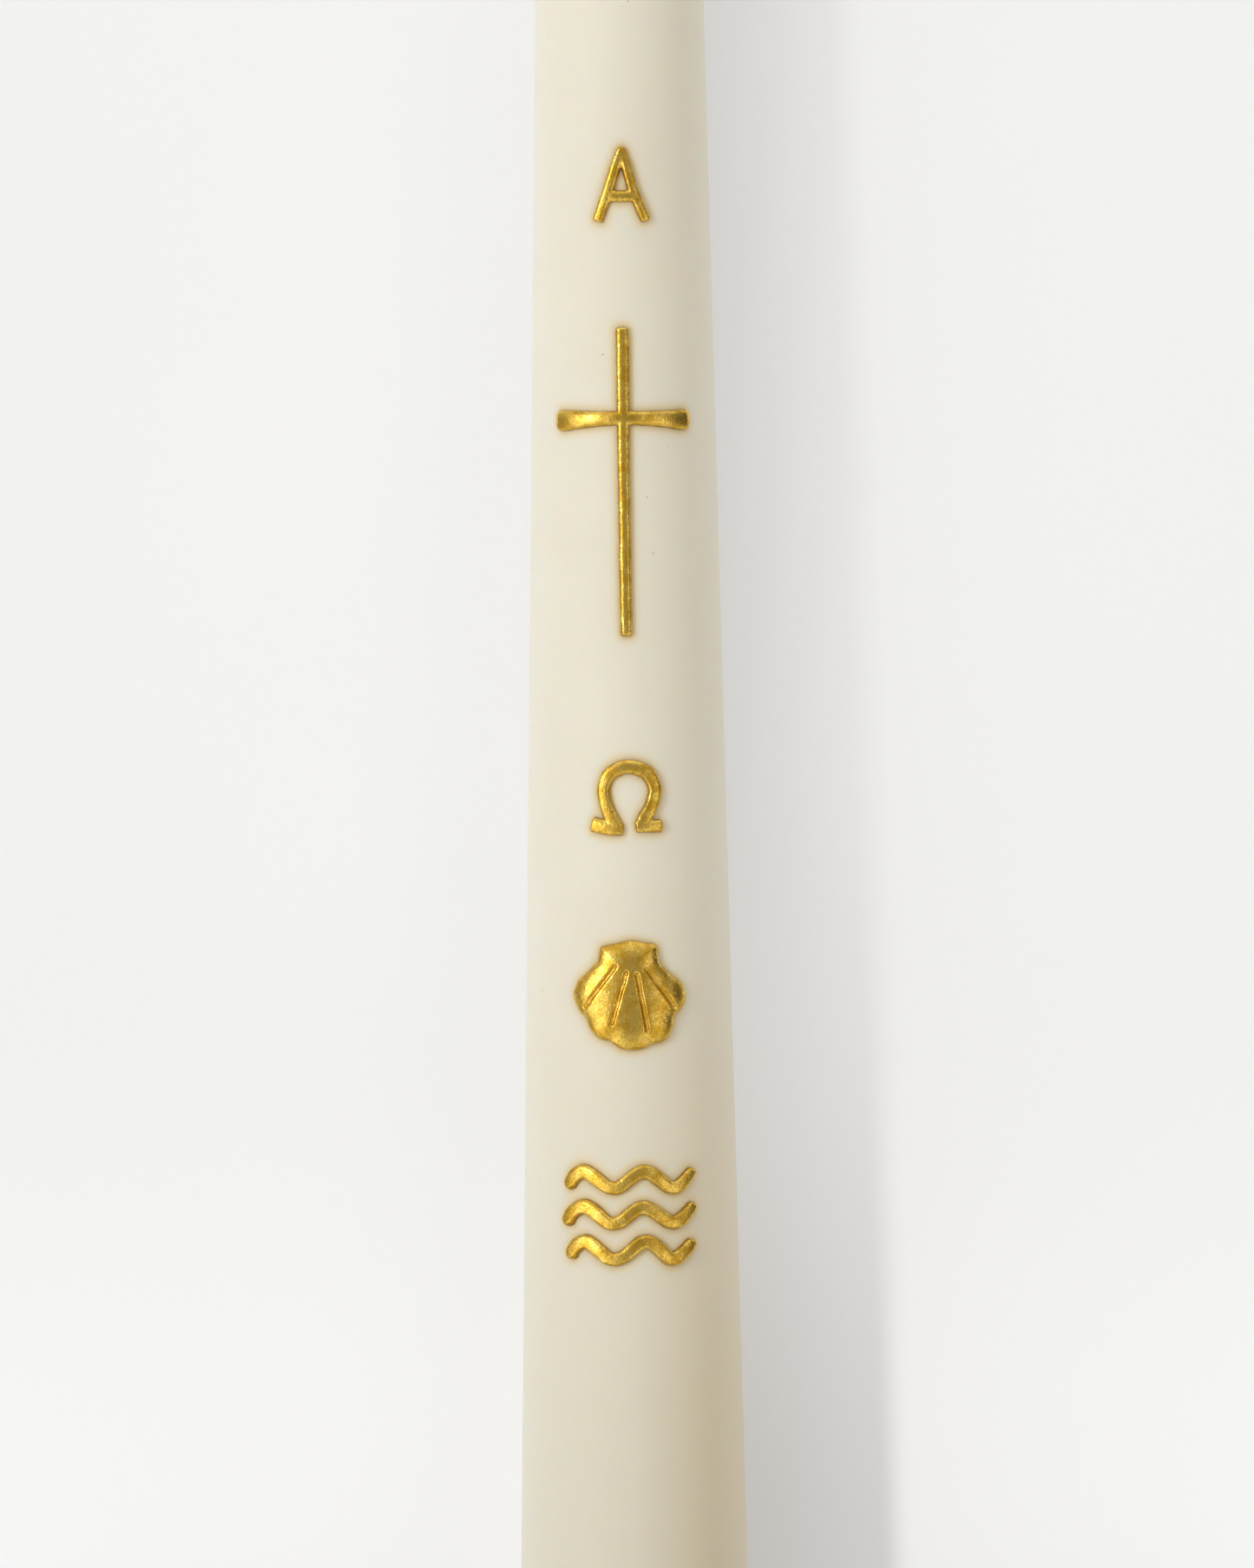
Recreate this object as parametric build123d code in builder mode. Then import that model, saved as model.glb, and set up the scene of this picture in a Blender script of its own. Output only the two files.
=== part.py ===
from build123d import *
import os

# Ceremonial taper candle: a dipped wax taper on a milled foot, with gilded wax reliefs.
# Upright, +Z along the wick, origin at the middle of the base; the reliefs face -Y.

# wax body
wax_height = 300.0          # base to the top of the wax
base_diameter = 24.0        # the taper's line carried down to the base
taper = 0.0372              # diameter lost for each millimetre of height
foot_diameter = 22.0        # milled straight to sit in a 22 mm candle socket
foot_length = 20.0
foot_chamfer = 1.0
tip_length = 10.0           # rounded shoulder above the straight taper
rim_rounding = 0.3          # lower outer edge of the dipped coat

# wick
wick_diameter = 2.0
wick_stub = 12.0            # wick above the wax
wick_end_rounding = 0.4
collar_rise = 1.2           # wax drawn up round the wick
collar_spread = 0.6

# reliefs: widths and heights on the front elevation
relief_rise = 0.6           # letters, cross and waves above the coat
shell_rise = 0.9            # shell above the coat
stroke = 1.2                # letters and upright

alpha_base = 169.26
alpha_width = 5.74
alpha_height = 7.62
alpha_apex = 0.9            # width of the blunt point
alpha_bar_low = 1.95        # bar's lower and upper edges above the base
alpha_bar_high = 3.2
alpha_counter_top = 5.35

cross_base = 128.23
cross_width = 13.3
cross_height = 30.65
cross_arm_level = 21.56     # middle of the arms above the base
cross_arm_root = 1.4        # arm's width beside the upright
cross_arm_end = 2.15
cross_fillet = 0.35

omega_base = 108.66
omega_middle = 0.22         # the ring stands a little to the right
omega_half_width = 2.47     # stroke's middle line
omega_widest = 4.55         # above the base
omega_arch_rise = 2.1
omega_foot_reach = {-1: 3.95, 1: 3.45}    # left and right foot, out from the ring's middle
omega_foot_height = 1.2
omega_gap = 0.7

shell_base = 87.23
shell_top = 10.86
ear = (2.62, 10.27)         # corner of the hinge
neck = (2.95, 8.82)         # foot of the hinge's straight side
fan_shoulder = (4.7, 7.0)   # the fan runs straight out to here
widest = (5.38, 5.3)
outer_notch = (4.4, 3.4)
side_lobe = (3.72, 1.5)
inner_notch = (2.05, 0.82)
groove_hub = (0.44, 9.87)  # the grooves fan out from here
groove_tilts = (-36.0, -15.5, 9.5, 33.5)
groove_start = 2.2          # from the hub
groove_length = 5.25
groove_width = 0.5
groove_depth = 0.3

wave_levels = {"wave_lower": 67.45, "wave_middle": 70.95, "wave_upper": 74.45}
wave_stroke = 1.36
wave_swing = 0.82           # crest or trough from the middle line
wave_start = (-5.95, -0.4)
wave_turns = (-4.7, -1.8, 1.5, 4.4)    # crests and troughs in turn
wave_end = (5.95, 0.75)

foot_radius = foot_diameter / 2
wick_radius = wick_diameter / 2
shoulder = wax_height - tip_length
reach = base_diameter       # from the axis out past every relief


def body_radius(height):
    return (base_diameter - taper * height) / 2


coat_thickness = body_radius(foot_length) - foot_radius


def elevation(height, across=0):
    """Upright plane through the axis that faces out of the candle's front."""
    return Plane(origin=(across, 0, height), x_dir=(1, 0, 0), z_dir=(0, -1, 0))


def taper_outline(inset):
    """Half outline of the taper above the foot, up to the wick and down along it."""
    side = Line((body_radius(foot_length) - inset, foot_length),
                (body_radius(shoulder) - inset, shoulder))
    tip = (wick_radius + collar_spread, wax_height - collar_rise - inset)
    TangentArc(side @ 1, tip, tangent=side % 1)
    Polyline(tip, (wick_radius, tip[1] + collar_rise), (wick_radius, foot_length), side @ 0)


def skin(low, high):
    """Layer that follows the taper's surface, from low to high above it."""
    with BuildPart() as layer:
        with BuildSketch(Plane.XZ):
            with BuildLine():
                Polyline((body_radius(foot_length) + low, foot_length),
                         (body_radius(foot_length) + high, foot_length),
                         (body_radius(shoulder) + high, shoulder),
                         (body_radius(shoulder) + low, shoulder), close=True)
            make_face()
        revolve(axis=Axis.Z)
    return layer.part


relief_layer = skin(0, relief_rise)
shell_layer = skin(0, shell_rise)
groove_layer = skin(shell_rise - groove_depth, shell_rise + groove_depth)

os.makedirs("parts", exist_ok=True)

# Poured core with its foot and the channel that the wick fills
with BuildPart() as wax_core:
    with BuildSketch(Plane.XZ):
        with BuildLine():
            taper_outline(coat_thickness)
        make_face()
        with BuildLine():
            Polyline((wick_radius, 0), (foot_radius - foot_chamfer, 0), (foot_radius, foot_chamfer),
                     (foot_radius, foot_length), (wick_radius, foot_length), close=True)
        make_face()
    revolve(axis=Axis.Z)
wax_core.part.label = "wax_core"
export_step(wax_core.part, "parts/wax_core.step")

# Coat dipped over the core, open at the foot
with BuildPart() as dipped_coat:
    with BuildSketch(Plane.XZ):
        with BuildLine():
            taper_outline(0)
        make_face()
    revolve(axis=Axis.Z)
    add(wax_core.part, mode=Mode.SUBTRACT)
    rim = dipped_coat.edges().group_by(Axis.Z)[0].sort_by(SortBy.LENGTH)[-1]
    fillet(rim, radius=rim_rounding)
dipped_coat.part.label = "dipped_coat"
export_step(dipped_coat.part, "parts/dipped_coat.step")

# Wick from the base up through the core, with its bare stub
with BuildPart() as wick:
    Cylinder(wick_radius, wax_height + wick_stub, align=(Align.CENTER, Align.CENTER, Align.MIN))
    fillet(wick.edges().group_by(Axis.Z)[-1], radius=wick_end_rounding)
wick.part.label = "wick"
export_step(wick.part, "parts/wick.step")

# Alpha: a pointed letter with its counter and the opening between its legs cut away
with BuildPart() as alpha_letter:
    with BuildSketch(elevation(alpha_base)):
        lean = (alpha_width - alpha_apex) / 2 / alpha_height
        inner_foot = alpha_width / 2 - stroke
        inner_bar = inner_foot - lean * alpha_bar_low
        counter_foot = inner_foot - lean * alpha_bar_high
        with BuildLine():
            Polyline((-alpha_width / 2, 0), (-alpha_apex / 2, alpha_height),
                     (alpha_apex / 2, alpha_height), (alpha_width / 2, 0), close=True)
        make_face()
        with BuildLine():
            Polyline((-inner_foot, 0), (-inner_bar, alpha_bar_low),
                     (inner_bar, alpha_bar_low), (inner_foot, 0), close=True)
        make_face(mode=Mode.SUBTRACT)
        with BuildLine():
            Polyline((-counter_foot, alpha_bar_high), (0, alpha_counter_top),
                     (counter_foot, alpha_bar_high), close=True)
        make_face(mode=Mode.SUBTRACT)
    extrude(amount=reach)
    add(relief_layer, mode=Mode.INTERSECT)
alpha_letter.part.label = "alpha_letter"
export_step(alpha_letter.part, "parts/alpha_letter.step")

# Cross: a plain upright and two arms that widen towards their ends
with BuildPart() as cross:
    with BuildSketch(elevation(cross_base)) as cross_face:
        Rectangle(stroke, cross_height, align=(Align.CENTER, Align.MIN))
        with BuildLine():
            Polyline((0, cross_arm_level + cross_arm_root / 2),
                     (cross_width / 2, cross_arm_level + cross_arm_end / 2),
                     (cross_width / 2, cross_arm_level - cross_arm_end / 2),
                     (0, cross_arm_level - cross_arm_root / 2))
            mirror(about=Plane.YZ)
        make_face()
        beside_upright = cross_face.vertices().filter_by_position(Axis.X, -stroke, stroke)
        inner_corners = beside_upright.filter_by_position(Axis.Y, stroke, cross_height - stroke)
        fillet(inner_corners, radius=cross_fillet)
    extrude(amount=reach)
    add(relief_layer, mode=Mode.INTERSECT)
cross.part.label = "cross"
export_step(cross.part, "parts/cross.step")

# Omega: an open ring whose limbs run in to a gap between two short feet
with BuildPart() as omega_letter:
    with BuildSketch(elevation(omega_base, omega_middle)):
        limb_foot = (omega_gap + stroke) / 2
        with BuildLine():
            EllipticalCenterArc((0, omega_widest), omega_half_width, omega_arch_rise, arc_size=180)
            for side in (-1, 1):
                TangentArc((side * omega_half_width, omega_widest),
                           (side * limb_foot, omega_foot_height / 2), tangent=(0, -1))
        trace(line_width=stroke)
        for side, foot_reach in omega_foot_reach.items():
            with Locations((side * (foot_reach + omega_gap / 2) / 2, omega_foot_height / 2)):
                Rectangle(foot_reach - omega_gap / 2, omega_foot_height)
    extrude(amount=reach)
    add(relief_layer, mode=Mode.INTERSECT)
omega_letter.part.label = "omega_letter"
export_step(omega_letter.part, "parts/omega_letter.step")

# Shell: a straight-sided hinge over a fan of five lobes
with BuildPart() as shell:
    with BuildSketch(elevation(shell_base)):
        with BuildLine():
            Polyline((0, shell_top), ear, neck, fan_shoulder)
            ThreePointArc(fan_shoulder, widest, outer_notch)
            ThreePointArc(outer_notch, side_lobe, inner_notch)
            mirror(about=Plane.YZ)
            ThreePointArc(inner_notch, (0, 0), (-inner_notch[0], inner_notch[1]))
        make_face()
    extrude(amount=reach)
    add(shell_layer, mode=Mode.INTERSECT)

# Cutter for the shell's four grooves
with BuildPart() as grooves:
    with BuildSketch(elevation(shell_base)):
        for tilt in groove_tilts:
            ray = Vector(0, -1).rotate(Axis.Z, tilt)
            middle = Vector(*groove_hub) + ray * (groove_start + groove_length / 2)
            with Locations(middle):
                SlotOverall(groove_length, groove_width, rotation=90 + tilt)
    extrude(amount=reach)
    add(groove_layer, mode=Mode.INTERSECT)

with shell:
    add(grooves.part, mode=Mode.SUBTRACT)
shell.part.label = "shell"
export_step(shell.part, "parts/shell.step")

# Waves: the same strip three times, from a round left end to a narrow right tip
for name, level in wave_levels.items():
    with BuildPart() as wave:
        with BuildSketch(elevation(level)):
            turns = [(x, wave_swing * (-1) ** turn) for turn, x in enumerate(wave_turns)]
            with BuildLine():
                crest_line = Spline(wave_start, *turns, wave_end)
            trace(line_width=wave_stroke)
            with Locations(crest_line @ 0):
                Circle(wave_stroke / 2)
        extrude(amount=reach)
        add(relief_layer, mode=Mode.INTERSECT)
    wave.part.label = name
    export_step(wave.part, f"parts/{name}.step")
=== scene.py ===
import math
import bpy
import numpy as np
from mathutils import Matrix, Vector, kdtree


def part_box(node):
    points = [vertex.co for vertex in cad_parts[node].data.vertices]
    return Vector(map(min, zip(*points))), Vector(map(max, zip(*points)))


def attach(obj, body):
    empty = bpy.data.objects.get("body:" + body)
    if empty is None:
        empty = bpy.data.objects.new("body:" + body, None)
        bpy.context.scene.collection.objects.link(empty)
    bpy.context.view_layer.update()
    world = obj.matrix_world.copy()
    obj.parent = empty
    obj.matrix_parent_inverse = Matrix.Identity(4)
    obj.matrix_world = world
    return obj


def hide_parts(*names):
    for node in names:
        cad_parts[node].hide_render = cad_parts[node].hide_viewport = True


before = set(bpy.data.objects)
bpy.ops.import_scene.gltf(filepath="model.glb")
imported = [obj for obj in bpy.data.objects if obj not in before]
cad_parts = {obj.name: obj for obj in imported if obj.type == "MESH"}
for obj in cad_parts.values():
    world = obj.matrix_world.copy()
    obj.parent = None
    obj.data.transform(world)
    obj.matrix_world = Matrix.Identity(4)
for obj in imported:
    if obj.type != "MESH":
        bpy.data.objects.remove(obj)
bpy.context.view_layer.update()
mm = 0.001
print("frame loaded")


class Wire:    # an output socket that takes part in arithmetic
    def __init__(self, graph, socket):
        self.graph = graph
        self.socket = socket

    def maths(self, operation, *terms):
        return self.graph.node("ShaderNodeMath", {"operation": operation}, dict(enumerate(terms)))

    def __add__(self, other):
        return self.maths("ADD", self, other)

    def __radd__(self, other):
        return self.maths("ADD", other, self)

    def __sub__(self, other):
        return self.maths("SUBTRACT", self, other)

    def __rsub__(self, other):
        return self.maths("SUBTRACT", other, self)

    def __mul__(self, other):
        return self.maths("MULTIPLY", self, other)

    def __rmul__(self, other):
        return self.maths("MULTIPLY", other, self)

    def __truediv__(self, other):
        return self.maths("DIVIDE", self, other)

    def __rtruediv__(self, other):
        return self.maths("DIVIDE", other, self)

    def __pow__(self, other):
        return self.maths("POWER", self, other)

    def clamped(self):
        return self.graph.node("ShaderNodeClamp", {}, {0: self})

    def also(self, name):    # another output of the same node
        return Wire(self.graph, self.socket.node.outputs[name])


class Graph:    # a node tree that is built one call at a time
    def __init__(self, tree):
        self.tree = tree

    def node(self, kind, settings=None, sockets=None, out=0):
        made = self.tree.nodes.new(kind)
        for name, value in (settings or {}).items():
            setattr(made, name, value)
        for key, value in (sockets or {}).items():
            if isinstance(value, Wire):
                self.tree.links.new(value.socket, made.inputs[key])
            else:
                made.inputs[key].default_value = value
        return Wire(self, made.outputs[out])

    def mixColour(self, share, first, second):
        return self.node("ShaderNodeMix", {"data_type": "RGBA"}, {0: share, 6: first, 7: second}, out=2)

    def vector(self, operation, first, second, out=0):
        return self.node("ShaderNodeVectorMath", {"operation": operation}, {0: first, 1: second}, out)

    def scaled(self, vector, amount):
        return self.node("ShaderNodeVectorMath", {"operation": "SCALE"}, {0: vector, "Scale": amount})

    def attribute(self, name):
        return self.node("ShaderNodeAttribute", {"attribute_name": name}, {}, out=2)

    def bump(self, strength, distance, height):
        return self.node("ShaderNodeBump", {}, {
            "Strength": strength, "Distance": distance, "Height": height})

    def join(self, x, y, z):
        return self.node("ShaderNodeCombineXYZ", {}, {0: x, 1: y, 2: z})

    def split(self, vector):
        parts = self.node("ShaderNodeSeparateXYZ", {}, {0: vector})
        return parts, parts.also("Y"), parts.also("Z")

    def noise(self, place, scale, detail=2.0, roughness=0.5, out=0):
        return self.node("ShaderNodeTexNoise", {},
                         {"Vector": place, "Scale": scale, "Detail": detail, "Roughness": roughness}, out)

    def between(self, value, low, high, toLow=0.0, toHigh=1.0, smooth=True):
        return self.node("ShaderNodeMapRange", {"interpolation_type": "SMOOTHSTEP" if smooth else "LINEAR"},
                         {0: value, 1: low, 2: high, 3: toLow, 4: toHigh})


# Geometry Nodes trees: inputs are (name, kind of socket) and come out as wires
def newRecipe(name, inputs):
    tree = bpy.data.node_groups.new(name, "GeometryNodeTree")
    tree.interface.new_socket("Geometry", in_out="INPUT", socket_type="NodeSocketGeometry")
    for label, kind in inputs.items():
        tree.interface.new_socket(label, in_out="INPUT", socket_type="NodeSocket" + kind)
    tree.interface.new_socket("Geometry", in_out="OUTPUT", socket_type="NodeSocketGeometry")
    graph = Graph(tree)
    given = tree.nodes.new("NodeGroupInput")
    graph.given = {socket.name: Wire(graph, socket) for socket in given.outputs}
    graph.output = tree.nodes.new("NodeGroupOutput")
    return graph


def closeRecipe(graph, shape):    # every tree ends the same way
    solid = graph.node("GeometryNodeRealizeInstances", {}, {0: shape})
    smooth = graph.node("GeometryNodeSetShadeSmooth", {}, {0: solid})
    painted = graph.node("GeometryNodeSetMaterial", {}, {0: smooth, "Material": graph.given["Material"]})
    graph.tree.links.new(painted.socket, graph.output.inputs[0])


def addRecipe(draft, graph, values):
    modifier = draft.modifiers.new(graph.tree.name, "NODES")
    modifier.node_group = graph.tree
    for item in graph.tree.interface.items_tree:
        if item.in_out == "INPUT" and item.name in values:
            modifier[item.identifier] = values[item.name]


def newDraft(name, points, edges=(), faces=()):
    mesh = bpy.data.meshes.new(name)
    mesh.from_pydata([tuple(p) for p in points], list(edges), list(faces))
    draft = bpy.data.objects.new(name, mesh)
    bpy.context.scene.collection.objects.link(draft)
    return draft


def bakeDraft(draft):    # the evaluated shape as a plain mesh; the draft goes
    mesh = bpy.data.meshes.new_from_object(draft.evaluated_get(bpy.context.evaluated_depsgraph_get()))
    bpy.data.objects.remove(draft)
    return mesh


def addPiece(name, mesh, node):
    piece = bpy.data.objects.new(name, mesh)
    mesh.name = name
    bpy.context.scene.collection.objects.link(piece)
    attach(piece, "root")
    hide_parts(node)


# Materials
def newMaterial(name, shaderSockets):
    material = bpy.data.materials.new(name)
    material.use_nodes = True
    material.node_tree.nodes.clear()
    graph = Graph(material.node_tree)
    shader = graph.node("ShaderNodeBsdfPrincipled", {}, shaderSockets)
    graph.output = material.node_tree.nodes.new("ShaderNodeOutputMaterial")
    graph.tree.links.new(shader.socket, graph.output.inputs["Surface"])
    graph.shader = shader.socket.node
    graph.material = material
    graph.place = graph.node("ShaderNodeTexCoord", {}, {}, out=3)    # Object coordinates
    return graph


def feed(graph, name, wire):
    graph.tree.links.new(wire.socket, graph.shader.inputs[name])


gold = {
    "leaf": (0.96, 0.64, 0.118, 1),       # bright leaf
    "deep": (0.68, 0.39, 0.030, 1),       # deeper patches
    "tarnish": (0.24, 0.15, 0.035, 1),    # brown-grey speckle
    "footShadeBrown": (0.31, 0.165, 0.020, 1),  # painted shade along the low rims where the gilding meets the wax
    "footShadeShare": 0.7,
    "speckleScale": 9000,
    "wornScale": 3150,
    "patchScale": 900,
    "foldScale": 1800,
    "roughness": 0.25,
    "lacquer": 0.2,
    "lacquerRoughness": 0.3,
    "grain": 0.000016,                    # depth of the leaf's fine grain
    "creases": 0.000012,
}


def paintGold():
    graph = newMaterial("giltWax", {
        "Metallic": 1.0, "Roughness": gold["roughness"], "Coat Weight": gold["lacquer"],
        "Coat Roughness": gold["lacquerRoughness"]})
    patches = graph.between(graph.noise(graph.place, gold["patchScale"], 3), 0.35, 0.65)
    grain = graph.noise(graph.place, gold["speckleScale"], 2, 0.6)
    speckle = graph.between(grain, 0.45, 0.66)
    worn = graph.between(graph.noise(graph.place, gold["wornScale"], 3, 0.65), 0.56, 0.74)
    leaf = graph.mixColour(patches, gold["leaf"], gold["deep"])
    leaf = graph.mixColour((0.5 * speckle + 0.35 * worn).clamped(), leaf, gold["tarnish"])
    # painted shade along the relief's foot, broken up by the wear pattern
    rim = graph.between(graph.attribute("lift") + 0.25 * (worn - 0.3), 0.42, 0.05)
    feed(graph, "Base Color", graph.mixColour(gold["footShadeShare"] * rim, leaf, gold["footShadeBrown"]))
    feed(graph, "Roughness", gold["roughness"] + 0.14 * speckle + 0.06 * patches + 0.2 * rim)
    creases = graph.noise(graph.place, gold["foldScale"], 2, 0.5)
    folds = graph.bump(1.0, gold["creases"], creases)
    fine = graph.bump(1.0, gold["grain"], grain)
    graph.tree.links.new(folds.socket, fine.socket.node.inputs["Normal"])
    feed(graph, "Normal", fine)
    return graph.material


wax = {
    "coat": (0.850, 0.81, 0.70, 1),
    "coatDeep": (0.836, 0.79, 0.67, 1),
    "coatFar": (0.89, 0.822, 0.69, 1),    # painted warmer on the side away from the key light
    "coatLow": (0.79, 0.745, 0.625, 1),   # and painted shade: darker towards the foot
    "coatLowFar": (0.82, 0.715, 0.535, 1),
    "farReach": 9 * mm,                   # from the middle to the full far tone
    "lowTop": 115 * mm,
    "lowBase": 45 * mm,
    "collarWarmTint": (0.95, 0.74, 0.46, 1),      # painted warm tint on the collar round the wick, against the blue cast that scattered light gives the thin wax there
    "collarWarmTintFrom": 298.2 * mm,
    "collarWarmTintTo": 299.6 * mm,
    "core": (0.82, 0.755, 0.615, 1),
    "glow": (0.84, 0.60, 0.21, 1),        # painted reflected light: warm tint that the gilding throws on the wax beside it
    "giltReflectionShare": 0.75,
    "giltReflectionReach": 1.1 * mm,
    "dust": (0.42, 0.36, 0.26, 1),
    "scatter": (1.0, 0.72, 0.5),          # how far each colour travels in the wax
    "scatterDepth": 0.55 * mm,
    "roughness": 0.48,
    "mottleScale": 70,
    "dustScale": 1500,
    "rippleScale": 260,
    "rippleDepth": 0.06 * mm,
    "ringPitch": 7000.0,                  # radians of cutter ring for each metre of height
}


def paintWax(name, colour, deepColour, isCoat):
    graph = newMaterial(name, {
        "Roughness": wax["roughness"], "IOR": 1.44, "Specular IOR Level": 0.2, "Subsurface Weight": 1.0,
        "Subsurface Radius": wax["scatter"], "Subsurface Scale": wax["scatterDepth"]})
    mottle = graph.between(graph.noise(graph.place, wax["mottleScale"], 3, 0.55), 0.35, 0.65)
    body = graph.mixColour(mottle, colour, deepColour)
    specks = graph.between(graph.noise(graph.place, wax["dustScale"], 1, 0.5), 0.795, 0.82)
    body = graph.mixColour(0.6 * specks, body, wax["dust"])
    ripple = (graph.noise(graph.place, wax["rippleScale"], 2, 0.5)
              + 0.25 * graph.noise(graph.place, wax["rippleScale"] * 10, 2, 0.5))
    across, along, height = graph.split(graph.place)
    if isCoat:
        # painted shade: the coat is tinted warmer on the side away from the key light and darker towards the
        # foot
        far = graph.between(across, 0.0, wax["farReach"])
        low = graph.between(height, wax["lowTop"], wax["lowBase"])
        shadedLowTone = graph.mixColour(far, wax["coatLow"], wax["coatLowFar"])
        body = graph.mixColour(0.85 * low, graph.mixColour(0.8 * far, body, wax["coatFar"]), shadedLowTone)
        # painted warm tint that hides the blue cast of light scattered through the collar
        collarWarmTint = graph.between(height, wax["collarWarmTintFrom"], wax["collarWarmTintTo"])
        body = graph.mixColour(0.8 * collarWarmTint, body, wax["collarWarmTint"])
        # painted reflected light: a warm tint on the wax beside the gilding
        body = graph.mixColour(wax["giltReflectionShare"] * graph.attribute("glow"), body, wax["glow"])
    else:    # fine rings left by the cutter
        phase = height * wax["ringPitch"]
        ripple = ripple + 0.12 * phase.maths("SINE", phase)
    feed(graph, "Base Color", body)
    feed(graph, "Roughness", wax["roughness"] + 0.08 * mottle)
    feed(graph, "Normal", graph.bump(0.25, wax["rippleDepth"], ripple))
    return graph.material


cotton = {
    "light": (0.80, 0.75, 0.62, 1),
    "dark": (0.60, 0.53, 0.40, 1),
    "roughness": 0.62,
    "fibreScale": 9000,
    "fibreDepth": 0.06 * mm,
    "scatterDepth": 0.6 * mm,
}


def paintCotton():
    graph = newMaterial("primedCotton", {
        "Roughness": cotton["roughness"], "Subsurface Weight": 0.35, "Subsurface Radius": wax["scatter"],
        "Subsurface Scale": cotton["scatterDepth"]})
    fibres = graph.noise(graph.place, cotton["fibreScale"], 3, 0.6)
    tone = graph.between(fibres, 0.35, 0.7)
    feed(graph, "Base Color", graph.mixColour(tone, cotton["light"], cotton["dark"]))
    feed(graph, "Normal", graph.bump(0.6, cotton["fibreDepth"], fibres))
    return graph.material


giltWax = paintGold()
coatWax = paintWax("coatWax", wax["coat"], wax["coatDeep"], True)
coreWax = paintWax("coreWax", wax["core"], wax["coatDeep"], False)
primedCotton = paintCotton()
print("materials ready")

# The turned wax: where its surface runs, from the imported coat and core
coatLow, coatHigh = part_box("dipped_coat")
coreLow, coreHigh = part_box("wax_core")
wickLow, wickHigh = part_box("wick")
taper = {
    "slope": 0.0186,            # radius lost for each unit of height
    "tipLength": 10 * mm,       # rounded shoulder at the top
    "collarRise": 1.2 * mm,     # wax drawn up round the wick
    "collarSpread": 0.6 * mm,
    "rimRounding": 0.3 * mm,
    "footChamfer": 1.0 * mm,
    "segments": 224,
    "wobble": 0.035 * mm,       # unevenness of a hand-dipped surface
    "hub": 0.01 * mm,           # radius of the ring that the outline is swept round
}
rimHeight = coatLow.z
waxTop = coatHigh.z
footRadius = coreHigh.x
wickRadius = wickHigh.x
shoulder = waxTop - taper["tipLength"]


def bodyRadius(height):
    return coatHigh.x + (rimHeight + taper["rimRounding"] - height) * taper["slope"]


coatThickness = bodyRadius(rimHeight) - footRadius


def tipArc(inset, count):    # from the shoulder up to the wick's collar, tangent to the side
    start = np.array([bodyRadius(shoulder) - inset, shoulder])
    end = np.array([wickRadius + taper["collarSpread"], waxTop - taper["collarRise"] - inset])
    along = np.array([-taper["slope"], 1.0]) / math.hypot(taper["slope"], 1.0)
    inward = np.array([-along[1], along[0]])
    chord = end - start
    radius = chord @ chord / (2 * chord @ inward)
    centre = start + inward * radius
    sweep = 2 * math.atan2(chord @ inward, chord @ along)
    turns = np.linspace(0, sweep, count)
    return [tuple(centre - inward * radius * math.cos(t) + along * radius * math.sin(t)) for t in turns]


def collar(inset, count):    # hollow curve from the tip up the wick
    base = waxTop - taper["collarRise"] - inset
    shares = np.linspace(0, 1, count + 1)[1:]
    return [(wickRadius + taper["collarSpread"] * (1 - s) ** 1.6, base + taper["collarRise"] * s ** 1.3)
            for s in shares]


def side(heights, inset):
    return [(bodyRadius(h) - inset, h) for h in heights]


reliefZone = (60 * mm, 182 * mm)    # the coat is finer here


def coatProfile():    # closed outline, down the outside and up the inside
    heights = np.concatenate([
        np.linspace(rimHeight + taper["rimRounding"], reliefZone[0], 18, endpoint=False),
        np.linspace(*reliefZone, 236, endpoint=False),
        np.linspace(reliefZone[1], shoulder, 32, endpoint=False)])
    outer = side(heights, 0) + tipArc(0, 22) + collar(0, 6)
    turns = np.linspace(0, math.pi / 2, 5)[1:]
    r = taper["rimRounding"]
    rim = [(bodyRadius(rimHeight) - r + r * math.cos(t), rimHeight + r - r * math.sin(t)) for t in turns]
    innerTop = waxTop - coatThickness
    inner = side(np.linspace(rimHeight, shoulder, 14, endpoint=False), coatThickness)
    inner += tipArc(coatThickness, 8) + [(wickRadius, innerTop)]
    return outer[::-1] + rim + inner


def coreProfile():
    chamfer = taper["footChamfer"]
    outer = side(np.linspace(rimHeight, shoulder, 14, endpoint=False), coatThickness)
    outer += tipArc(coatThickness, 8) + [(wickRadius, waxTop - coatThickness)]
    foot = [(footRadius, h) for h in np.linspace(rimHeight, chamfer, 24)[1:]]
    base = [(r, 0.0) for r in np.linspace(footRadius - chamfer, wickRadius, 10)]
    channel = [(wickRadius, h) for h in np.linspace(0, waxTop - coatThickness, 12)[1:-1]]
    return outer[::-1] + foot + base + channel


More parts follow.
